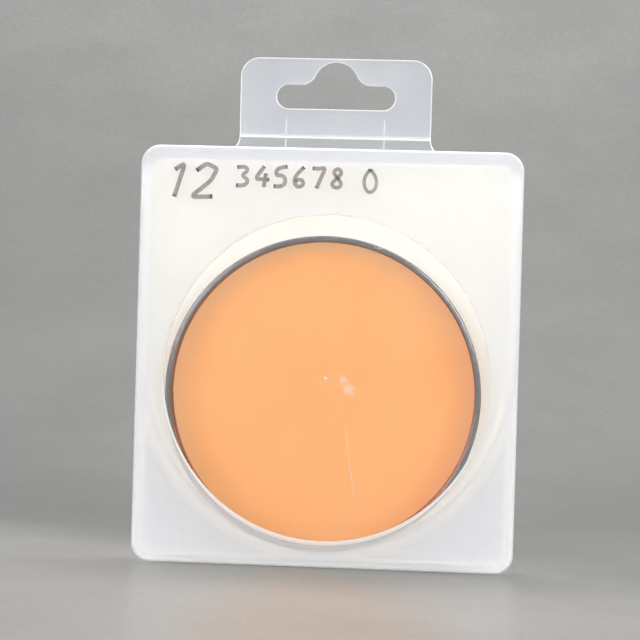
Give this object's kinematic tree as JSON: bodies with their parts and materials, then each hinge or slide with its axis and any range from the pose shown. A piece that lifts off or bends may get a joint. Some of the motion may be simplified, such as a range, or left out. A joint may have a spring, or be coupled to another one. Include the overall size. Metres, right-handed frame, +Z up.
{
  "type": "colour conversion filter in storage case",
  "caption": "Round orange laminated-glass conversion filter in a dark metal ring, held in a milky hinged square plastic case with a round clear window and a fold-down hang tab.",
  "frame": {"origin": "middle of the case's bottom edge, on the plane where the cover meets the tray", "axes": "+Z up towards the hang tab, +X to the right seen from the window side, +Y from the window towards the back of the case"},
  "size_m": [0.1005, 0.014, 0.134],
  "materials": {
    "milky_polypropylene": "satin",
    "clear_window": "gloss",
    "frosted_tab": "satin",
    "white_foam": "matte",
    "dark_anodised_ring": "satin",
    "clear_glass": "polished",
    "orange_layer": "gloss",
    "edge_lacquer": "matte"
  },
  "bodies": {
    "tray": {"rear_tray": "milky_polypropylene", "tray_hinge_leaf": "milky_polypropylene", "foam_pad": "white_foam", "tab_root": "frosted_tab"},
    "cover": {"front_cover": "milky_polypropylene", "cover_window": "clear_window", "cover_hinge_leaf": "milky_polypropylene"},
    "tab": {"hang_tab": "frosted_tab"},
    "filter": {"filter_ring": "dark_anodised_ring", "front_glass": "clear_glass", "colour_layer": "orange_layer", "rear_glass": "clear_glass", "edge_seal": "edge_lacquer", "retaining_ring": "dark_anodised_ring"}
  },
  "joints": [
    {"name": "cover_hinge", "type": "hinge", "parent": "tray", "child": "cover", "pos_m": [-0.05065, 0, 0.0545], "axis": [0, 0, -1], "range_deg": [0, 175]},
    {"name": "tab_fold", "type": "hinge", "parent": "tray", "child": "tab", "pos_m": [0, 0.007, 0.1133], "axis": [-1, 0, 0], "range_deg": [0, 182]},
    {"name": "filter_lift", "type": "slide", "parent": "tray", "child": "filter", "axis": [0, 0, 1], "range_m": [0, 0.02]}
  ]
}
